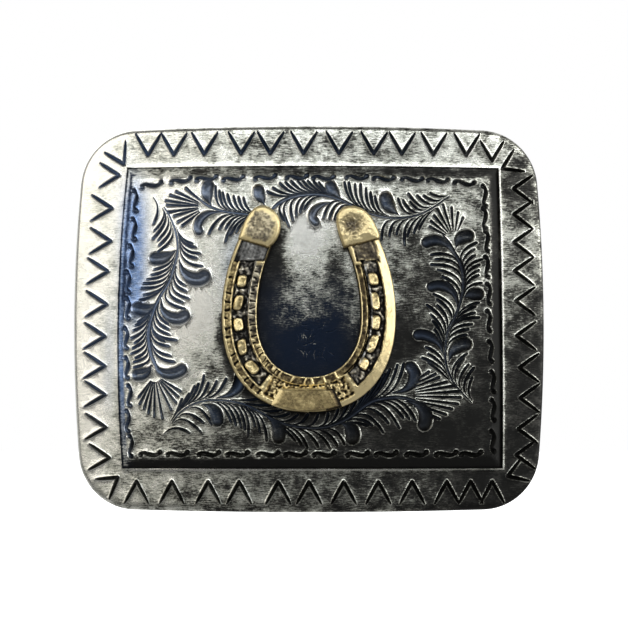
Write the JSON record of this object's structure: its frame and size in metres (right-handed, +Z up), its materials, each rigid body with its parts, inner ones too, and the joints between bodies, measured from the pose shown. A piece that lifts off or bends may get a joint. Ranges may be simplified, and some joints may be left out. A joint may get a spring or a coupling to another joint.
{
  "type": "belt buckle",
  "caption": "Bent rectangular plate buckle with a riveted horseshoe on the front, a swinging wire bail and a fixed hook on the back.",
  "frame": {"origin": "middle of the plate's back face, where the belt lies", "axes": "worn orientation: +Z up, the decorated front looks along -Y, +X to the right of someone facing the front"},
  "size_m": [0.086, 0.0159, 0.0694],
  "materials": {
    "plate_silver": "engraved nickel silver, oxidised dark and rubbed back",
    "horseshoe_brass": "cast brass, worn bright on the high spots and dark in the recesses",
    "burr_brass": "satin",
    "fittings_silver": "satin nickel silver",
    "bail_brass": "drawn wire, softly worn",
    "hook_brass": "satin, polished at the tip"
  },
  "bodies": {
    "buckle": {"face_plate": "plate_silver", "horseshoe": "horseshoe_brass", "rivet_burrs": "burr_brass", "hinge_base": "fittings_silver", "hinge_tube": "fittings_silver", "hook_base": "fittings_silver", "hook_peg": "hook_brass"},
    "bail": {"bail": "bail_brass"}
  },
  "joints": [
    {"name": "bail_swing", "type": "hinge", "parent": "buckle", "child": "bail", "pos_m": [0.0175, 0.00415, 0], "axis": [0, 0, 1], "range_deg": [0, 175]}
  ]
}
